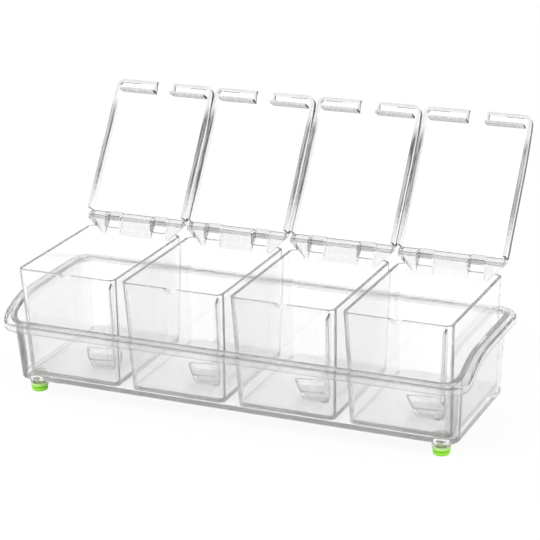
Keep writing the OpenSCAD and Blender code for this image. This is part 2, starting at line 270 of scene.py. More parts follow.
def modify(obj: Piece, kind: str, **settings: object) -> Piece:
    """Adds one modifier and applies it.

    Args:
        obj: The piece.
        kind: The type of the modifier.
        settings: Its settings by name.

    Returns:
        The piece.
    """
    take(obj)
    modifier = obj.modifiers.new(kind.title(), kind)
    for key, value in settings.items():
        setattr(modifier, key, value)
    bpy.ops.object.modifier_apply(modifier=modifier.name)
    return obj


def combine(obj: Piece, tool: Piece, operation: str = "UNION") -> Piece:
    """Joins a tool to a piece, or cuts it out, and removes the tool.

    Args:
        obj: The piece.
        tool: The second solid.
        operation: UNION or DIFFERENCE.

    Returns:
        The piece.
    """
    modify(obj, "BOOLEAN", operation=operation, object=tool, solver="EXACT")
    bpy.data.objects.remove(tool)
    edit(obj, action="SELECT")
    bpy.ops.mesh.remove_doubles(threshold=MERGE)
    bpy.ops.mesh.fill_holes(sides=6)
    return close(obj)


def soften(obj: Piece, width: float, angle: float = 40.0, segments: int = 3) -> Piece:
    """Rounds the edges of a piece that are sharper than an angle in degrees."""
    limit = {"limit_method": "ANGLE", "angle_limit": math.radians(angle)}
    return modify(obj, "BEVEL", width=width, segments=segments, **limit)


def shade(obj: Piece, angle: float = 35.0) -> Piece:
    """Shades a piece smoothly, with its flat faces kept flat.

    Args:
        obj: The piece.
        angle: Edges sharper than this stay crisp, in degrees.

    Returns:
        The piece.
    """
    take(obj)
    bpy.ops.object.shade_smooth_by_angle(angle=math.radians(angle))
    return modify(obj, "WEIGHTED_NORMAL", keep_sharp=True, weight=60)


def paint_shade(obj: Piece, depth: Callable[[Vector, Vector], float]) -> Piece:
    """Paints shade, which stands in for the dark reflections of clear plastic, as a face attribute.

    Args:
        obj: The piece.
        depth: Gives the painted shade, from 0 to 1, of a face from its middle and its normal.

    Returns:
        The piece.
    """
    layer = obj.data.attributes.new("shade", "FLOAT", "FACE")
    for face in obj.data.polygons:
        layer.data[face.index].value = min(1.0, max(0.0, depth(face.center, face.normal)))
    return obj


def shifted(obj: Piece, name: str, offset: Vector) -> Piece:
    """Copies a piece with its own mesh and moves the copy's mesh.

    Args:
        obj: The piece to copy.
        name: The name of the copy.
        offset: How far the copy is moved.

    Returns:
        The copy.
    """
    twin = obj.copy()
    twin.data = obj.data.copy()
    twin.name = twin.data.name = name
    bpy.context.scene.collection.objects.link(twin)
    twin.data.transform(Matrix.Translation(offset))
    return twin


@dataclass(frozen=True)
class Outline:
    """Where the points lie round a rounded rectangle, the same for every ring of a piece."""

    front: tuple[float, ...]
    side: tuple[float, ...]
    back: tuple[float, ...]
    corner_steps: int = 8

    @staticmethod
    def even(count: int) -> tuple[float, ...]:
        """Places that split a side from -1 to 1 into equal steps, without its ends."""
        return tuple(2.0 * k / count - 1.0 for k in range(1, count))

    def flat(self, shape: Shape) -> list[Point]:
        """Lays the points round one rounded rectangle.

        Args:
            shape: Half its length along X, half its width along Y and its corner radius.

        Returns:
            The points, from the front left corner round by the right.
        """
        half_x, half_y, radius = shape
        x, y = half_x - radius, half_y - radius
        turns = [90.0 * k / self.corner_steps for k in range(self.corner_steps + 1)]
        points: list[Point] = [(t * x, -half_y) for t in self.front]
        points += arc((x, -y), radius, [a - 90.0 for a in turns])
        points += [(half_x, t * y) for t in self.side]
        points += arc((x, y), radius, turns)
        points += [(-t * x, half_y) for t in self.back]
        points += arc((-x, y), radius, [a + 90.0 for a in turns])
        points += [(-half_x, -t * y) for t in self.side]
        return points + arc((-x, -y), radius, [a + 180.0 for a in turns])

    def ring(self, shape: Callable[[float], Shape], height: Callable[[float, float], float]) -> list[Vector]:
        """Lays one ring whose height depends on place and whose shape depends on height.

        Args:
            shape: Gives the rounded rectangle at a height.
            height: Gives the height at a place.

        Returns:
            The ring's points.
        """
        first = self.flat(shape(height(0.0, 0.0)))
        ring = []
        for index, (x, y) in enumerate(first):
            z = height(x, y)
            for _ in range(5):
                x, y = self.flat(shape(z))[index] if shape(z) != shape(0.0) else first[index]
                z = height(x, y)
            ring.append(Vector((x, y, z)))
        return ring


# ---- Finishes ----


class Graph:
    """Shader nodes of a material or world, added and wired in short calls."""

    def __init__(self, owner: Material | bpy.types.World) -> None:
        """Switches on the nodes of their owner."""
        owner.use_nodes = True
        self.owner, self.tree = owner, owner.node_tree

    def feed(self, node: str, inputs: dict[str | int, object]) -> None:
        """Sets the inputs of a node.

        Args:
            node: The name of the node.
            inputs: For each input its constant, or the output that it is linked to.
        """
        for key, value in inputs.items():
            socket = self.tree.nodes[node].inputs[key]
            if isinstance(value, Socket):
                self.tree.links.new(value, socket)
            else:
                socket.default_value = value

    def add(self, kind: str, inputs: dict[str | int, object], out: str | int = 0, **own: object) -> Socket:
        """Adds a node.

        Args:
            kind: Its type.
            inputs: What its inputs are set to.
            out: Which of its outputs is wanted.
            own: The node's own settings by name.

        Returns:
            The output.
        """
        node = self.tree.nodes.new(f"ShaderNode{kind}")
        for key, value in own.items():
            setattr(node, key, value)
        self.feed(node.name, inputs)
        return node.outputs[out]

    def noise(self, place: Socket, grain: Point) -> Socket:
        """Adds a noise texture of a scale and detail."""
        return self.add("TexNoise", {"Scale": grain[0], "Detail": grain[1], "Vector": place})

    def spread(self, value: Socket, start: Point, end: Point, kind: str = "LINEAR") -> Socket:
        """Adds a node that maps one range of values to another."""
        ends = {"From Min": start[0], "From Max": start[1], "To Min": end[0], "To Max": end[1]}
        return self.add("MapRange", {**ends, "Value": value}, interpolation_type=kind)

    def reckon(self, operation: str, first: Socket, second: Socket | float) -> Socket:
        """Adds a node that reckons with two values."""
        return self.add("Math", {0: first, 1: second}, operation=operation)

    def seen_rays(self) -> Socket:
        """Adds nodes that give 1 for camera, glossy and transmission rays.

        Returns:
            The socket that carries the answer.
        """
        path = self.tree.nodes.new("ShaderNodeLightPath").outputs
        seen = self.reckon("MAXIMUM", path["Is Camera Ray"], path["Is Glossy Ray"])
        return self.reckon("MAXIMUM", seen, path["Is Transmission Ray"])


@dataclass(frozen=True)
class ClearPlastic:
    """Polished colourless plastic whose edges darken with the length of the light's way, with painted shade
    standing in for dark reflections where its faces are marked.
    """

    name: str
    tint: Shape = (0.995, 0.995, 0.995)
    refraction: float = 1.46
    roughness: float = 0.012
    haze: float = 0.03
    wear: Point = (55.0, 4.0)
    wear_range: Point = (0.45, 0.75)
    ripple: float = 0.04
    ripple_height: float = 0.0006
    flow: Point = (38.0, 1.0)
    density: float = 1.2
    absorbed: Shape = (0.4, 0.4, 0.4)
    clarity: float = 0.95
    # Painted shade: the darkest tint of marked faces, and the stripes that stand in for dark reflections.
    shade_level: float = 0.12
    reflection_streaks: Shape = (900.0, 60.0, 60.0)
    reflection_streak_range: Point = (0.35, 0.6)
    reflection_streak_low: float = 0.65
    turned: float = 0.0

    def build(self) -> Material:
        """Makes the material.

        Returns:
            The material, with faint haze, moulding ripple and painted shade.
        """
        graph = Graph(bpy.data.materials.new(self.name))
        place = graph.add("TexCoord", {}, "Object")
        colour = self._painted_shade_colour(graph, place)
        wear = graph.noise(place, self.wear)
        rough = graph.spread(wear, self.wear_range, (self.roughness, self.roughness + self.haze))
        ripple = {"Strength": self.ripple, "Distance": self.ripple_height}
        bump = graph.add("Bump", {**ripple, "Height": graph.noise(place, self.flow)})
        shine = {"Transmission Weight": 1.0, "IOR": self.refraction, "Alpha": self.clarity}
        graph.feed("Principled BSDF", {**shine, "Base Color": colour, "Roughness": rough, "Normal": bump})
        absorb = {"Color": (*self.absorbed, 1.0), "Density": self.density}
        graph.feed("Material Output", {"Volume": graph.add("VolumeAbsorption", absorb)})
        return graph.owner

    def _painted_shade_colour(self, graph: Graph, place: Socket) -> Socket:
        """Darkens the plastic with painted shade, in fine stripes that stand in for dark reflections, where the
        mesh is painted so.

        Args:
            graph: The material's nodes.
            place: The object's coordinates.

        Returns:
            The colour.
        """
        painted = graph.add("Attribute", {}, "Fac", attribute_name="shade")
        turn = {"Vector": place, "Angle": self.turned}
        along = graph.add("VectorRotate", turn, rotation_type="X_AXIS")
        stretched = graph.add("Mapping", {"Vector": along, "Scale": self.reflection_streaks})
        reflection_streak = graph.noise(stretched, (1.0, 2.0))
        share = graph.spread(reflection_streak, self.reflection_streak_range, (self.reflection_streak_low, 1.0))
        amount = graph.reckon("MULTIPLY", painted, share)
        ends = {"A": (*self.tint, 1.0), "B": (self.shade_level, self.shade_level, self.shade_level, 1.0)}
        return graph.add("Mix", {**ends, "Factor": amount}, "Result", data_type="RGBA")


@dataclass(frozen=True)
class SoftRubber:
    """Satin rubber with painted light and shade in bands up its height: painted shade at its bottom edge and
    waist, painted highlights on its tiers and top.
    """

    name: str
    rubbed: Shape = (0.44, 0.80, 0.14)
    height: float = 6.0 * MM
    # Painted light and shade up the foot's height: dark at the bottom edge and the waist, painted highlights on
    # each tier and the top.
    light_and_shade_bands: tuple[tuple[float, Shape], ...] = (
        (0.0, (0.1, 0.58, 0.0)),
        (0.12, (0.22, 0.8, 0.0)),
        (0.3, (0.5, 1.0, 0.06)),
        (0.45, (0.16, 0.7, 0.0)),
        (0.53, (0.1, 0.58, 0.0)),
        (0.66, (0.4, 0.98, 0.05)),
        (0.9, (0.72, 1.0, 0.42)),
    )
    sheen: float = 0.05
    gloss: float = 0.3
    spots: Point = (260.0, 3.0)
    spot_share: float = 0.3
    roughness: Point = (0.35, 0.6)
    grain: Point = (2600.0, 2.0)
    grain_strength: float = 0.25
    grain_height: float = 0.0002

    def build(self) -> Material:
        """Makes the material.

        Returns:
            The material.
        """
        graph = Graph(bpy.data.materials.new(self.name))
        place = graph.add("TexCoord", {}, "Object")
        spots = graph.noise(place, self.spots)
        # Painted light and shade: the colour follows the height through the bands.
        rise = graph.spread(graph.add("SeparateXYZ", {"Vector": place}, "Z"), (0.0, self.height), (0.0, 1.0))
        painted_light_and_shade = graph.add("ValToRGB", {"Fac": rise})
        marks = painted_light_and_shade.node.color_ramp.elements
        while len(marks) < len(self.light_and_shade_bands):
            marks.new(1.0)
        for mark, (spot, colour) in zip(marks, self.light_and_shade_bands):
            mark.position = spot
            mark.color = (*colour, 1.0)
        few = graph.reckon("MULTIPLY", spots, self.spot_share)
        ends = {"A": painted_light_and_shade, "B": (*self.rubbed, 1.0)}
        colour = graph.add("Mix", {**ends, "Factor": few}, "Result", data_type="RGBA")
        grain = graph.noise(place, self.grain)
        rough = graph.spread(grain, (0.0, 1.0), self.roughness)
        relief = {"Strength": self.grain_strength, "Distance": self.grain_height, "Height": grain}
        bump = graph.add("Bump", relief)
        shine = {"Sheen Weight": self.sheen, "Specular IOR Level": self.gloss}
        graph.feed("Principled BSDF", {**shine, "Base Color": colour, "Roughness": rough, "Normal": bump})
        return graph.owner


@dataclass(frozen=True)
class FloorFinish:
    """Matt white floor that looks as white as paper and keeps the object's shadow."""

    name: str
    colour: Shape = (0.86, 0.86, 0.86)
    white: float = 1.01
    glow: float = 0.1
    through: float = 1.0

    def build(self) -> Material:
        """Makes the material.

        Returns:
            The material.
        """
        graph = Graph(bpy.data.materials.new(self.name))
        graph.tree.nodes.remove(graph.tree.nodes["Principled BSDF"])
        matt = graph.add("BsdfDiffuse", {"Color": (*self.colour, 1.0)})
        lit = graph.add("BsdfDiffuse", {"Color": (self.glow, self.glow, self.glow, 1.0)})
        ends = {"A": self.through, "B": self.white - self.glow}
        camera = graph.add("LightPath", {}, "Is Camera Ray")
        strength = graph.add("Mix", {**ends, "Factor": camera}, "Result")
        both = graph.add("AddShader", {0: lit, 1: graph.add("Emission", {"Strength": strength})})
        mix = graph.add("MixShader", {"Fac": graph.seen_rays(), 1: matt, 2: both})
        graph.feed("Material Output", {"Surface": mix})
        return graph.owner


# ---- Sub-assemblies ----


@dataclass(frozen=True)
class Tray:
    """Clear tray with leaning walls and an S-curved, flanged rim."""

    floor_half_x: float = 158.05
    floor_half_y: float = 47.85
    corner: float = 7.0
    wall: float = 2.3
    lean_x: float = math.tan(math.radians(3.2))
    lean_y: float = math.tan(math.radians(5.3))
    under: float = 9.8
    floor: float = 13.3
    edge: float = 1.0
    rim_front: float = 53.8
    climb: float = 13.0
    foot_radius: float = 8.0
    slope: float = math.radians(34.0)
    rise_setback: float = 6.0
    flange_half_x: float = 169.54
    flange_half_y: float = 59.81
    flange_corner: float = 16.99
    flange_t: float = 2.0
    fillet: float = 0.9
    lip: float = 6.0
    lip_t: float = 1.7
    lip_turn: float = 0.6
    rim_turn: float = 1.5
    step: float = 0.7
    step_out: float = 1.9
    step_in: float = 0.8
    mouth_turn: float = 1.1
    socket_z: float = 6.0
    socket_radius: float = 6.6
    stem_radius: float = 3.03
    foot_x: float = 148.05
    foot_y: float = 41.65
    # Painted shade, standing in for dark reflections, on the lip, the rim's roundings, the front corners and the
    # ends.
    shade_lip: float = 0.12
    shade_rim: Point = (1.0, 0.5)
    shade_corner: Point = (0.9, 0.3)
    shade_end: float = 0.07

    def inner(self, z: float, offset: float = 0.0) -> Shape:
        """Inside outline of the walls at a height, moved outwards by an offset."""
        x, y = (z - self.floor) * self.lean_x + offset, (z - self.floor) * self.lean_y + offset
        return self.floor_half_x + x, self.floor_half_y + y, self.corner + x

    def outer_edge(self, inset: float) -> Shape:
        """Plan outline of the flange, moved inwards by an inset."""
        return self.flange_half_x - inset, self.flange_half_y - inset, self.flange_corner - inset

    def rim(self, y: float, drop: float) -> float:
        """Height of the rim line at a depth, lowered square to the line.

        Args:
            y: Place from front to back.
            drop: How far the line is lowered.

        Returns:
            The height.
        """
        crest_radius = self.climb / (1.0 - math.cos(self.slope)) - self.foot_radius
        rise_y = self.rise_setback - self.flange_half_y
        crest_y = rise_y + (self.foot_radius + crest_radius) * math.sin(self.slope)
        low = self.foot_radius + drop
        if y <= rise_y:
            return self.rim_front - drop
        if y <= rise_y + low * math.sin(self.slope):
            return self.rim_front + self.foot_radius - math.sqrt(low**2 - (y - rise_y) ** 2)
        back = self.rim_front + self.climb
        if y < crest_y:
            return back - crest_radius + math.sqrt((crest_radius - drop) ** 2 - (y - crest_y) ** 2)
        return back - drop

    def rings(self, outline: Outline) -> Rings:
        """Lists the rings from the underside, over the rim and down to the floor.

        Args:
            outline: The layout of the points in every ring.

        Returns:
            The rings.
        """
        rings: Rings = []

        def level(z: float, offset: float) -> None:
            """Lays a level ring on a wall."""
            rings.append(outline.ring(lambda _: self.inner(z, offset), lambda _x, _y: z))

        def wall(drop: float, offset: float, share: float = 1.0, base: float = 0.0) -> None:
            """Lays a ring on a wall, part of the way from a level base up to the rim."""
            rise = lambda _x, y: base + share * (self.rim(y, drop) - base)  # noqa: E731
            rings.append(outline.ring(lambda z: self.inner(z, offset), rise))

        def flange(inset: float, drop: float) -> None:
            """Lays a ring on the flange."""
            rings.append(outline.ring(lambda _: self.outer_edge(inset), lambda _x, y: self.rim(y, drop)))

        for c, s in quarter(4):
            level(self.under + self.edge * (1 - c), self.wall - self.edge * (1 - s))
        for share in (0.25, 0.5, 0.75):
            wall(self.flange_t + self.fillet, self.wall, share, self.under + self.edge)
        for c, s in quarter(3):
            wall(self.flange_t + self.fillet * (1 - s), self.wall + self.fillet * (1 - c))
        for inset, drop in ((0.7, 0.0), (0.2, 0.2), (0.0, 0.7)):
            flange(self.lip_t + inset, self.flange_t + drop)
        turn = self.lip_turn
        low = self.lip - turn
        flange(self.lip_t, low)
        for c, s in quarter(3)[1:]:
            flange(self.lip_t - turn * (1 - c), low + turn * s)
        for c, s in quarter(3):
            flange(turn * (1 - s), self.lip - turn * (1 - c))
        for c, s in quarter(5):
            flange(self.rim_turn * (1 - c), self.step + self.rim_turn * (1 - s))
        for k in range(5):
            ease = 0.5 - 0.5 * math.cos(math.pi * k / 4)
            out = self.step_out + (self.step_in - self.step_out) * k / 4
            wall(self.step * (1 - ease), self.wall + out)
        turn = self.mouth_turn
        wall(0.0, turn)
        for c, s in quarter(4)[1:]:
            wall(turn * (1 - c), turn * (1 - s))
        for share in (0.75, 0.5, 0.25):
            wall(turn, 0.0, share, self.floor + self.edge)
        for c, s in quarter(4):
            level(self.floor + self.edge * (1 - s), -self.edge * (1 - c))
        return rings

    def build(self) -> Piece:
        """Models the tray and its four foot sockets.

        Returns:
            The piece.
        """
        outline = Outline(Outline.even(20), Outline.even(56), Outline.even(20), 14)
        tray = loft("tray_clear", self.rings(outline))
        for corner in Corner:
            tray = combine(tray, self._socket(corner))
        return shade(paint_shade(tray, self.depth))

    def depth(self, place: Vector, normal: Vector) -> float:
        """Painted shade on a face of the tray, standing in for dark reflections: most in the roundings of its rim
        and in its front corners.

        Args:
            place: The middle of the face.
            normal: Its normal.

        Returns:
            The greyness.
        """
        out = abs(place.x) - self.floor_half_x
        if place.z > self.rim_front - self.lip - 1.0:
            if not 0.2 < abs(normal.z) < 0.8:
                on_lip = abs(place.y) > self.flange_half_y - 3.0 or out > 4.0
                return self.shade_lip if on_lip else 0.0
            return self.shade_rim[0 if out > 3.0 and place.x < 0 else 1]
        if out < -5.0 or place.y > 9.0 - self.floor_half_y:
            return self.shade_end if out > -1.0 else 0.0
        return self.shade_corner[0 if place.x < 0 else 1]

    def _socket(self, corner: Corner) -> Piece:
        """Ring under the floor that a foot plugs into.

        Args:
            corner: The corner of the tray.

        Returns:
            The ring.
        """
        low, high = self.socket_z, self.under + 1.2
        profile = [
            (self.stem_radius, high - 0.6),
            (self.stem_radius, low + 0.5),
            (self.stem_radius + 0.4, low + 0.05),
            (self.socket_radius - 0.5, low + 0.05),
            (self.socket_radius, low + 0.6),
            (self.socket_radius, high),
        ]
        middle = corner.value[0] * self.foot_x, corner.value[1] * self.foot_y
        return turned("socket", profile, 40, middle)


@dataclass(frozen=True)
class Hinged:
    """Where the hinge's axis lies behind the middle of a box's rim."""

    hinge_y: float = 53.5
    hinge_z: float = 6.0

    @property
    def hinge(self) -> Vector:
        """Middle of the axis."""
        return Vector((0.0, self.hinge_y, self.hinge_z))


@dataclass(frozen=True)
class Box(Hinged):
    """Clear box with leaning walls, a notched front rim and three hinge lugs."""

    top_half_x: float = 37.25
    top_half_y: float = 51.5
    foot_half_x: float = 34.6
    foot_half_y: float = 47.25
    foot_corner: float = 5.0
    top_corner: float = 5.5
    height: float = 78.0
    wall: float = 2.3
    floor: float = 3.0
    edge: float = 0.8
    lift: float = 0.06
    notch: float = 10.5
    notch_depth: float = 2.8
    notch_inner: float = 0.9
    rim_turn: float = 0.4
    lug: float = 3.8
    brace: float = 6.0
    heel_y: float = 5.24
    heel_z: float = 1.92
    heel_in: float = 1.2
    heel_out: float = 1.15
    heel_t: float = 3.0
    pin: float = 1.0
    spans: tuple[Point, ...] = ((-37.25, -24.0), (-12.5, 12.5), (24.0, 37.25))
    levels: Shape = (-52.0, -26.0, -8.0)
    # Painted shade, standing in for dark reflections, on the lugs and their braces.
    shade_lug: Point = (0.75, 0.25)

    def outer(self, z: float, inset: float = 0.0) -> Shape:
        """Outside outline at a height above the rim, moved inwards by an inset."""
        share = (z + self.height) / self.height
        return (
            self.foot_half_x + (self.top_half_x - self.foot_half_x) * share - inset,
            self.foot_half_y + (self.top_half_y - self.foot_half_y) * share - inset,
            self.foot_corner + (self.top_corner - self.foot_corner) * share - inset,
        )

    def dip(self, x: float, y: float, inset: float) -> float:
        """How far the rim is lowered by the scooped notch in the front.

        Args:
            x: Place along the front.
            y: Place from front to back.
            inset: Place across the wall, from its outer face.

        Returns:
            The dip.
        """
        if y > 0 or abs(x) >= self.notch / 2:
            return 0.0
        tilt = math.atan2(self.notch_depth - self.notch_inner, self.wall)
        upright = self.notch_depth * math.cos(tilt)
        radius = (self.notch**2 / 4 + upright**2) / (2 * upright)
        depth = self.notch_depth - (self.notch_depth - self.notch_inner) * inset / self.wall
        rise = (radius - math.sqrt(radius**2 - x**2)) / math.cos(tilt)
        return max(0.0, depth - rise)

    def rings(self, outline: Outline) -> Rings:
        """Lists the rings from the underside, over the rim and down to the floor inside.

        Args:
            outline: The layout of the points in every ring.

        Returns:
            The rings.
        """
        rings: Rings = []

        def level(z: float, inset: float) -> None:
            """Lays a level ring on a wall."""
            rings.append(outline.ring(lambda _: self.outer(z, inset), lambda _x, _y: z))

        def rim(drop: float, inset: float) -> None:
            """Lays a ring that dips at the notch."""
            fall = lambda x, y: -drop - self.dip(x, y, inset)  # noqa: E731
            rings.append(outline.ring(lambda _: self.outer(-drop, inset), fall))

        low = self.lift - self.height
        for c, s in quarter(4):
            level(low + self.edge * (1 - c), self.edge * (1 - s))
        for z in self.levels:
            level(z, 0.0)
        turn = self.rim_turn
        rim(turn + 0.15, 0.0)
        for c, s in quarter(4):
            rim(turn * (1 - s), turn * (1 - c))
        for c, s in quarter(4)[1:]:
            rim(turn * (1 - c), self.wall - turn * (1 - s))
        rim(turn + 0.15, self.wall)
        for z in reversed(self.levels):
            level(z, self.wall)
        low = self.floor - self.height
        for c, s in quarter(4):
            level(low + self.edge * (1 - s), self.wall + self.edge * (1 - c))
        return rings

    def _lug(self, index: int) -> Piece:
        """One hinge lug with its brace and the heel that the open lid leans on.

        Args:
            index: Which of the three spans it fills.

        Returns:
            The lug.
        """
        y, z = self.hinge_y, self.hinge_z
        inside = self.top_half_y - self.wall + 0.3
        heel_y, heel_z = y + self.heel_y, z + self.heel_z
        outline: list[Point] = [(inside + 0.2, -self.brace), (inside, -2.0), (inside, 0.3)]
        outline += [(y - self.lug, z), *arc((y, z), self.lug, range(170, 29, -10))]
        outline += [(heel_y - self.heel_in, heel_z), (heel_y + self.heel_out, heel_z)]
        outline += [(heel_y + self.heel_out, heel_z - self.heel_t), (self.top_half_y - 0.5, -self.brace)]
        lug = prism("lug", outline, *self.spans[index])
        if index != 1:
            side = math.copysign(1.0, self.spans[index][0])
            edit(lug)
            start = side * (self.top_half_x - self.top_corner)
            bisect((start, 0.0, 0.0), (side, 0.0, -1.0), use_fill=True, clear_outer=True)
            outward(close(lug))
        return soften(lug, 0.45, 50.0, 2)

    def build(self) -> Piece:
        """Models one box round its own middle, with its rim at height 0.

        Returns:
            The piece.
        """
        run = self.top_half_x - self.top_corner
        half = self.notch / 2
        fine = [half * k / 9 for k in range(-9, 10)]
        stops = [-20.0, -10.0, -half - 0.6, -half - 0.2, *fine, half + 0.2, half + 0.6, 10.0, 20.0]
        outline = Outline(tuple(x / run for x in stops), Outline.even(10), Outline.even(12), 10)
        box = loft("box_clear", self.rings(outline))
        for index in range(len(self.spans)):
            box = combine(box, self._lug(index))
        box = combine(box, rod("bore", self.hinge, self.pin, BORE_LENGTH), "DIFFERENCE")
        return shade(paint_shade(box, self.depth))

    def depth(self, place: Vector, _normal: Vector) -> float:
        """Painted shade on a face of the box, standing in for dark reflections: only at the lugs and their
        braces.

        Args:
            place: The middle of the face.

        Returns:
            The greyness.
        """
        if place.y < self.top_half_y - 0.4 or place.z < -self.brace - 0.5:
            return 0.0
        return self.shade_lug[0 if -4.5 < place.z - self.hinge_z < -1.5 else 1]


@dataclass(frozen=True)
class Lid(Hinged):
    """Clear flip lid with a curved front, a locating rib, spoon guides and two knuckles."""

    half_x: float = 38.4
    front: float = -50.1
    rear: float = 48.9
    high: float = 9.2
    drop: float = 5.0
    curve: float = 42.0
    curve_cuts: int = 22
    plain_cuts: int = 12
    top: float = 2.0
    skin: float = 2.1
    wall: float = 2.3
    seat: float = 0.2
    corner: float = 5.5
    open_angle: float = math.radians(124.5)
    rib_setback: float = 7.0
    rib_t: float = 1.8
    rib_drop: float = 3.0
    rib_half: float = 34.05
    guide_in: float = 0.13
    slot: float = 12.7
    knuckle: float = 1.9
    knuckle_w: float = 10.8
    knuckle_x: float = 18.25
    bore: float = 1.05
    # Painted dark reflections: a lens-shaped streak on each side wall, split at a height, and shade on ribs,
    # knuckles, roundings and edges.
    reflection_streak_z: float = 3.2
    reflection_streak_start: float = 14.0
    shade_rib: float = 0.6
    shade_knuckle: float = 0.25
    shade_rounding: float = 0.7
    shade_edge: float = 0.4
    shade_plate_side: float = 0.12

    def surface(self, y: float) -> float:
        """Height of the top surface at a depth.

        Args:
            y: Place from front to back.

        Returns:
            The height.
        """
        start = self.front + self.curve
        if y >= start:
            return self.high
        radius = (self.curve**2 + self.drop**2) / (2 * self.drop)
        return self.high - radius + math.sqrt(radius**2 - (start - y) ** 2)

    def _skin(self) -> Piece:
        """Shapes the outer skin: top, two sides and front.

        Returns:
            The open skin.
        """
        low, high = (-self.half_x, self.front, self.seat), (self.half_x, self.rear, self.high)
        skin = block("lid_clear", low, high)
        for edge in edit(skin, Pick.EDGES).edges:
            first, last = (vert.co for vert in edge.verts)
            edge.select_set(abs(first.z - last.z) > 1.0 and (first + last).y < 0)
        bpy.ops.mesh.bevel(offset=self.corner, segments=10, affect="EDGES")
        bpy.ops.mesh.select_mode(type=Pick.FACES.value)
        bpy.ops.mesh.select_all(action="DESELECT")
        for face in bmesh.from_edit_mesh(skin.data).faces:
            face.select_set(face.normal.z < -0.9 or face.normal.y > 0.9)
        bpy.ops.mesh.delete(type="FACE")
        start, run = self.front + self.corner, self.curve - self.corner + 4.0
        cuts = [start + run * k / self.curve_cuts for k in range(1, self.curve_cuts)]
        start, run = self.front + self.curve + 4.0, self.rear - self.front - self.curve - 5.0
        cuts += [start + run * k / self.plain_cuts for k in range(1, self.plain_cuts)]
        for y in cuts:
            bisect((0.0, y, 0.0), (0.0, 1.0, 0.0))
        for vert in bmesh.from_edit_mesh(skin.data).verts:
            if vert.co.z > 0.5 * self.high:
                vert.co.z = self.surface(vert.co.y)
        bisect((0.0, 0.0, self.reflection_streak_z), (0.0, 0.0, 1.0))
        return close(skin)

    def _ribs(self, side: int) -> list[Piece]:
        """Locating rib and spoon guide of one half.

        Args:
            side: -1 for the left half, 1 for the right.

        Returns:
            The two solids.
        """
        rib_y, near = self.front + self.rib_setback, self.slot / 2
        x0, x1 = sorted((side * near, side * self.rib_half))
        high = (x1, rib_y + self.rib_t, self.surface(rib_y) - 0.9)
        rib = block("rib", (x0, rib_y, -self.rib_drop), high)
        x0, x1 = sorted((side * (near + self.guide_in), side * (near + self.rib_t - self.guide_in)))
        high = (x1, rib_y + self.rib_t / 2, self.surface(self.front + 1.0) - 0.75)
        guide = block("guide", (x0, self.front + 1.2, self.seat + 0.35), high)
        return [soften(rib, 0.5), soften(guide, 0.25, segments=2)]

    def _knuckle(self, side: int) -> Piece:
        """One knuckle with the web that joins it to the top.

        Args:
            side: -1 for the left one, 1 for the right.

        Returns:
            The solid.
        """
        y, z, r = self.hinge_y, self.hinge_z, self.knuckle
        outline: list[Point] = [(self.rear - 1.0, self.high - 0.1), (self.rear - 1.0, self.high - 1.9)]
        outline += [(self.rear, self.high - 2.6), (y - r, z - 0.2), *arc((y, z), r, range(190, 431, 15))]
        outline += [(self.rear + 1.0, self.high - 0.1)]
        middle, half = side * self.knuckle_x, self.knuckle_w / 2
        return soften(prism("knuckle", outline, middle - half, middle + half), 0.25, 50.0, 2)

    def build(self) -> Piece:
        """Models one lid, closed on a rim at height 0, and turns it open.

        Returns:
            The piece.
        """
        lid = self._skin()
        modify(lid, "SOLIDIFY", thickness=self.skin, offset=-1.0, use_even_offset=True, use_rim=True)
        soften(outward(lid), 0.7, 55.0, 4)
        for side in (-1, 1):
            for solid in (*self._ribs(side), self._knuckle(side)):
                lid = combine(lid, solid)
        half, roof = self.slot / 2, self.high - self.drop - self.top
        mouth = block("mouth", (-half, self.front - 2.0, -2.0), (half, self.front + 3.2, roof))
        lid = combine(lid, soften(mouth, 0.6), "DIFFERENCE")
        lid = combine(lid, rod("bore", self.hinge, self.bore, BORE_LENGTH), "DIFFERENCE")
        paint_shade(lid, self.depth)
        turn = Matrix.Translation(self.hinge) @ Matrix.Rotation(-self.open_angle, 4, "X")
        lid.data.transform(turn @ Matrix.Translation(-self.hinge))
        return shade(lid)

    def depth(self, place: Vector, normal: Vector) -> float:
        """Painted shade on a face of the closed lid, standing in for dark reflections: in its side walls, ribs,
        knuckles and roundings.

        Args:
            place: The middle of the face.
            normal: Its normal.

        Returns:
            The greyness.
        """
        rib_y, across = self.front + self.rib_setback, abs(place.x)
        if rib_y - 0.1 < place.y < rib_y + self.rib_t + 0.1 and across < self.rib_half + 0.1:
            on_rib = self.slot / 2 - 0.1 < across and place.z < self.surface(rib_y) - 1.0
            return self.shade_rib if on_rib else 0.0
        if place.y > self.rear + 0.5:
            return self.shade_knuckle
        edge = self.shade_edge if normal.z < -0.9 and place.z < 1.0 else 0.0
        if max(abs(c) for c in normal) < 0.95:
            edge = self.shade_rounding
        if across < self.half_x - self.wall:
            return edge
        # Painted dark reflection: a lens-shaped streak along each side wall, faint above the split height.
        start = self.front + self.reflection_streak_start
        along = min(1.0, max(0.0, (place.y - start) / (self.rear - start)))
        lens = min(1.0, 1.5 * math.sin(math.pi * along**0.7))
        return max(edge, self.shade_plate_side * lens if place.z > self.reflection_streak_z else lens)


@dataclass(frozen=True)
class HingePin(Hinged):
    """Clear pin with domed ends that the lid turns on."""

    radius: float = 0.96
    half: float = 36.9
    dome: float = 0.35

    def build(self) -> Piece:
        """Models one pin."""
        pin = rod("hinge_pin_clear", self.hinge, self.radius, 2 * self.half, 32)
        return shade(soften(pin, self.dome))


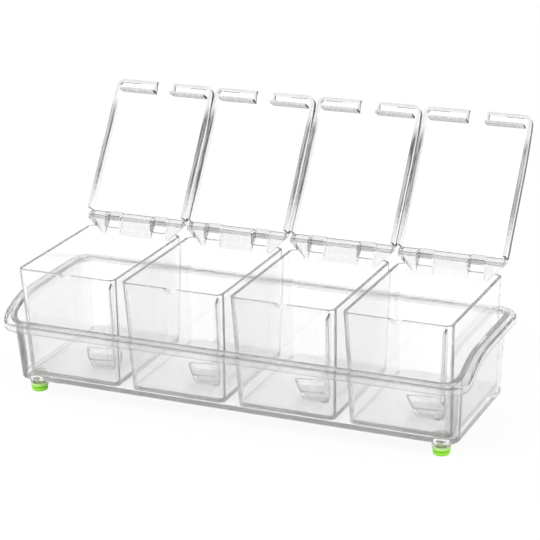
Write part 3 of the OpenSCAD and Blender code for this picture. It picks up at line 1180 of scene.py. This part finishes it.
@dataclass(frozen=True)
class Spoon:
    """Clear scoop with a blunt tip, a flat bottom and an upright strip handle."""

    end_x: float = 24.3
    end_y: float = -26.45
    floor: float = -75.0
    length: float = 34.0
    width: float = 25.0
    height: float = 8.5
    slope: float = 3.6
    wall: float = 1.4
    tip: float = 2.5
    side: float = 3.5
    heel: float = 5.5
    yaw: float = math.radians(24.0)
    handle_w: float = 8.0
    handle_t: float = 1.7
    handle_in: float = 1.8
    handle_down: float = 2.2
    handle_edge: float = 0.3
    lean_x: float = 5.0
    lean_y: float = -13.5
    handle_top: float = 68.9
    root: float = 3.2
    # Painted shade on the handle, the bowl's lower half and its rim.
    shade_handle: float = 0.12
    shade_bowl: float = 0.35
    shade_rim: float = 1.0

    @property
    def middle(self) -> float:
        """Where the middle of the bowl lies, from its heel."""
        return -0.47 * self.length

    def _reach(self, angle: float, inset: float) -> float:
        """Distance from the middle of the bowl to its outline.

        Args:
            angle: The direction, from the heel's side round.
            inset: How far the outline is drawn in.

        Returns:
            The distance.
        """
        tip, middle = max(self.tip - inset, self.tip / 4), self.middle
        wide = self.width / 2 - self.side - inset
        rounds = (
            (self.tip - self.length + inset / 2 - middle, 0.0, tip),
            (0.01 * self.length, wide, self.side),
            (0.01 * self.length, -wide, self.side),
            (-self.heel - inset / 5 - middle, 0.0, self.heel - 0.62 * inset),
        )
        reach = math.inf
        for k in range(-88, 89, 2):
            facing = angle + math.radians(k)
            c, s = math.cos(facing), math.sin(facing)
            support = max(x * c + y * s + r for x, y, r in rounds)
            reach = min(reach, support / math.cos(math.radians(k)))
        return reach

    def _ring(self, inset: float, z: float, count: int = 72) -> list[Vector]:
        """One ring of the bowl.

        Args:
            inset: How far it is drawn in from the rim's outline.
            z: Its height above the floor.
            count: How many points it has.

        Returns:
            The ring.
        """
        ring = []
        turn = Matrix.Rotation(-self.yaw, 3, "Z")
        for k in range(count):
            angle = math.tau * k / count
            reach = self._reach(angle, inset)
            point = Vector((self.middle + reach * math.cos(angle), reach * math.sin(angle), z))
            ring.append(turn @ point + Vector((self.end_x, self.end_y, self.floor)))
        return ring

    def build(self) -> Piece:
        """Models one spoon in its box, whose rim is at height 0.

        Returns:
            The piece.
        """
        steps = [(self.slope + 1.0, 0.06), (self.slope + 0.25, 0.1), (self.slope - 0.1, 0.5)]
        steps += [(self.slope * (1 - k / 6), self.height * k / 6) for k in range(1, 6)]
        steps += [(0.2, self.height - 0.45), (0.2, self.height - 0.15), (0.4, self.height)]
        steps += [(1.0, self.height), (1.2, self.height - 0.15), (1.25, self.height - 0.45)]
        rise, run = self.height - self.wall, self.slope
        steps += [(self.wall + run * k / 6, self.height - rise * k / 6) for k in range(1, 6)]
        steps += [(self.wall + run + 0.1, self.wall + 0.35), (self.wall + run + 0.9, self.wall)]
        bowl = loft("spoon_clear", [self._ring(inset, z) for inset, z in steps])
        return shade(paint_shade(combine(bowl, self._handle()), self.depth))

    def depth(self, place: Vector, _normal: Vector) -> float:
        """Painted shade and dark reflections on a face of the spoon: in the bowl's lower half and along its rim.

        Args:
            place: The middle of the face.

        Returns:
            The greyness.
        """
        up = (place.z - self.floor) / self.height
        if up > 1.0 + 0.1 / self.height:
            return self.shade_handle
        return self.shade_bowl if up < 0.55 else self.shade_rim if up > 0.93 else 0.0

    def _handle(self) -> Piece:
        """Strip that rises from the heel and leans into the corner of the box.

        Returns:
            The solid.
        """
        low, high = self.height - self.root - self.handle_down, self.handle_top
        half, cut = self.handle_w / 2, self.handle_edge
        rings = []
        for k in range(25):
            rise = k / 24
            z = low + (high - low) * rise
            width = half * (0.7 + 0.3 * rise)
            over = z - (high - half)
            if over > 0:
                width = math.sqrt(max(half**2 - over**2, 0.5))
            x = self.end_x - self.handle_in + (self.lean_x + self.handle_in) * rise
            y = self.end_y + self.lean_y * rise
            t = self.handle_t / 2 + 0.6 * (1 - rise)
            flat = width - min(0.5, width / 2)
            side = [(t - cut, -width), (t, -flat), (t, flat), (t - cut, width)]
            profile = [(cut - t, -width), *side, (cut - t, width), (-t, flat), (-t, -flat)]
            rings.append([Vector((x + a, y + b, self.floor + z)) for a, b in profile])
        return loft("handle", rings)


@dataclass(frozen=True)
class Foot:
    """Two-tier rubber foot with the stem that plugs it into its socket."""

    tread: float = 5.6
    waist: float = 2.9
    wide: float = 6.1
    height: float = 6.0
    stem: float = 2.97
    stem_top: float = 9.7
    edge: float = 0.9
    top_edge: float = 0.4
    crisp: float = 50.0

    def build(self) -> Piece:
        """Models one foot round the Z axis.

        Returns:
            The piece.
        """
        e, top = self.edge, self.top_edge
        profile = [(self.tread - e * (1 - s), e * (1 - c)) for c, s in quarter(4)]
        profile += [(self.tread, self.waist - 0.15), (self.tread + 0.05, self.waist)]
        profile += [(self.wide - e * (1 - s), self.waist + e * (1 - c)) for c, s in quarter(4)[1:]]
        profile += [(self.wide - top * (1 - c), self.height - top * (1 - s)) for c, s in quarter(4)]
        profile += [(self.stem + 0.3, self.height), (self.stem, self.height + 0.1)]
        profile += [(self.stem, self.stem_top - 0.3), (self.stem - 0.3, self.stem_top)]
        return shade(turned("foot_rubber", profile, 48), self.crisp)


# ---- Assembly ----


@dataclass(frozen=True)
class Caddy:
    """The whole caddy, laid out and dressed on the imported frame."""

    row_shift: float = 2.0
    pitch: float = 79.3
    rim_z: float = 91.3
    boxes: int = 4

    @staticmethod
    def finishes() -> dict[str, Material]:
        """Makes the finishes once.

        Returns:
            The material of each slot.
        """
        # Each clear finish sets how dark its painted shade gets; the pin's darker tint is painted shade for its
        # dark line in the hinge.
        lid = {"clarity": 1.0, "density": 6.0, "shade_level": 0.02, "turned": Lid.open_angle}
        finishes = {
            "tray_clear": ClearPlastic("clear_tray_plastic", clarity=0.9, shade_level=0.03, density=0.6),
            "box_clear": ClearPlastic("clear_box_plastic", clarity=0.89),
            "lid_clear": ClearPlastic("clear_lid_plastic", reflection_streaks=(700.0, 40.0, 700.0), **lid),
            "pin_clear": ClearPlastic("clear_pin_plastic", tint=(0.85, 0.85, 0.85), density=10.0),
            "spoon_clear": ClearPlastic("clear_spoon_plastic", clarity=1.0, density=6.0, shade_level=0.05),
            "foot_rubber": SoftRubber("green_foot_rubber"),
            "foot_clear": ClearPlastic("clear_foot_rubber", roughness=0.05, haze=0.1),
        }
        return {slot: finish.build() for slot, finish in finishes.items()}

    @staticmethod
    def dress(piece: Piece, finish: Material, slot: str, body: str, node: str) -> None:
        """Gives a piece its finish and body, hides the CAD node that it stands for, and reports it.

        Args:
            piece: The finished piece, in the caddy's own frame.
            finish: Its material.
            slot: The material slot; not used.
            body: The body that it rides on.
            node: The CAD node that it stands for.
        """
        piece.data.transform(Matrix.Scale(MM, 4))
        piece.data.materials.clear()
        piece.data.materials.append(finish)
        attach(piece, body)
        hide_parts(node)
        log.info("%s: %d faces, rides on %s", piece.name, len(piece.data.polygons), body)

    def place_box(self, index: int) -> Vector:
        """Middle of a box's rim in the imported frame, in millimetres."""
        x = self.row_shift + (index - (self.boxes + 1) / 2) * self.pitch
        return Vector((x, 0.0, self.rim_z)) + ROW_TO_FRAME

    def build(self) -> None:
        """Builds every sub-assembly in order."""
        finishes = self.finishes()
        tray = Tray()
        piece = tray.build()
        piece.data.transform(Matrix.Translation(ROW_TO_FRAME))
        self.dress(piece, finishes["tray_clear"], "tray_clear", "caddy", "tray")
        foot = Foot().build()
        for corner in Corner:
            name = f"foot_{corner.name.lower()}"
            offset = Vector((corner.value[0] * tray.foot_x, corner.value[1] * tray.foot_y, 0.0))
            slot = "foot_rubber" if corner.value[1] < 0 else "foot_clear"
            twin = shifted(foot, f"{name}_piece", offset + ROW_TO_FRAME)
            self.dress(twin, finishes[slot], slot, "caddy", name)
        bpy.data.objects.remove(foot)
        kinds = (
            ("box", "box_clear", "box_body", Box().build()),
            ("lid", "lid_clear", "lid_body", Lid().build()),
            ("hinge_pin", "pin_clear", "box_body", HingePin().build()),
            ("spoon", "spoon_clear", "spoon_body", Spoon().build()),
        )
        for kind, slot, body, pattern in kinds:
            for index in range(1, self.boxes + 1):
                twin = shifted(pattern, f"{kind}_{index}_clear", self.place_box(index))
                self.dress(twin, finishes[slot], slot, f"{body}_{index}", f"{kind}_{index}")
            bpy.data.objects.remove(pattern)


# ---- Studio ----


@dataclass(frozen=True)
class Studio:
    """White floor, bright horizon, dark ceiling for clear edges, and soft lamps. In metres."""

    light: float = 0.8
    horizon: Point = (0.25, 0.55)
    ceiling: float = 0.65
    left: Point = (-0.72, -0.95)
    left_dark: float = 0.15
    right: Point = (0.7, 0.95)
    right_dark: float = 0.3
    lamp_power: float = 9.0
    floor_half: float = 6.0
    aim: Shape = (0.0, 0.0, 0.06)
    bounces: int = 128
    clear_bounces: int = 64

    def build_world(self) -> None:
        """Makes the world: plain light, and for seen rays a white horizon under a dark ceiling."""
        world = bpy.context.scene.world = bpy.data.worlds.new("studio")
        graph = Graph(world)
        split = graph.add("SeparateXYZ", {"Vector": graph.add("TexCoord", {}, "Generated")}).node.outputs
        seen = graph.spread(split["Z"], self.horizon, (1.0, self.ceiling), "SMOOTHSTEP")
        for ends, dark in ((self.left, self.left_dark), (self.right, self.right_dark)):
            flank = graph.spread(split["X"], ends, (1.0, dark), "SMOOTHSTEP")
            seen = graph.reckon("MULTIPLY", seen, flank)
        ends = {"A": self.light, "B": seen, "Factor": graph.seen_rays()}
        strength = graph.add("Mix", ends, "Result", data_type="FLOAT")
        graph.feed("Background", {"Strength": strength, "Color": (1.0, 1.0, 1.0, 1.0)})

    def build_floor(self) -> None:
        """Lays the floor."""
        clear()
        bpy.ops.mesh.primitive_plane_add(size=2 * self.floor_half, location=(0.0, 0.0, 0.0))
        floor = bpy.context.object
        floor.name = "studio_floor"
        floor.data.materials.append(FloorFinish("white_floor").build())

    def build_lamp(self, name: str, place: Shape, size: float, power: float) -> None:
        """Hangs one soft lamp aimed at the caddy.

        Args:
            name: Its name.
            place: Where it hangs.
            size: The side of its square.
            power: Its power, in watts.
        """
        data = bpy.data.lights.new(name, "AREA")
        data.shape, data.size, data.energy = "SQUARE", size, power
        lamp = bpy.data.objects.new(name, data)
        lamp.visible_glossy = lamp.visible_transmission = False
        bpy.context.scene.collection.objects.link(lamp)
        lamp.location = place
        aim = Vector(self.aim) - Vector(place)
        lamp.rotation_euler = aim.to_track_quat("-Z", "Y").to_euler()

    def build(self) -> None:
        """Sets up the whole studio."""
        self.build_world()
        self.build_floor()
        self.build_lamp("softbox_left", (-1.1, -0.9, 1.3), 0.8, self.lamp_power)
        self.build_lamp("softbox_right", (1.2, -0.4, 1.1), 0.7, 0.6 * self.lamp_power)
        scene = bpy.context.scene
        scene.view_settings.view_transform = "Standard"
        scene.cycles.max_bounces = scene.cycles.transmission_bounces = self.bounces
        scene.cycles.transparent_max_bounces = self.clear_bounces


@dataclass(frozen=True)
class ViewCamera:
    """Camera at the photograph's angle, placed in millimetres and turned in degrees."""

    place: Shape = (539.36, -1178.18, 546.86)
    angles: Shape = (70.2369, 1.3648, 24.0169)
    lens: float = 134.154
    sensor: float = 36.0
    shift: Point = (-0.005825, 0.005722)
    clip: Point = (0.05, 30.0)

    def build(self) -> None:
        """Makes the camera and gives it to the scene."""
        data = bpy.data.cameras.new("view")
        data.sensor_width, data.lens = self.sensor, self.lens
        data.shift_x, data.shift_y = self.shift
        data.clip_start, data.clip_end = self.clip
        camera = bpy.data.objects.new("view", data)
        bpy.context.scene.collection.objects.link(camera)
        camera.location = Vector(self.place) * MM
        camera.rotation_euler = tuple(math.radians(a) for a in self.angles)
        bpy.context.scene.camera = camera


def main() -> None:
    """Builds the camera, the caddy and the studio."""
    logging.basicConfig(level=logging.INFO, format="%(name)s: %(message)s")
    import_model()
    ViewCamera().build()
    Caddy().build()
    Studio().build()


if __name__ == "__main__":
    main()
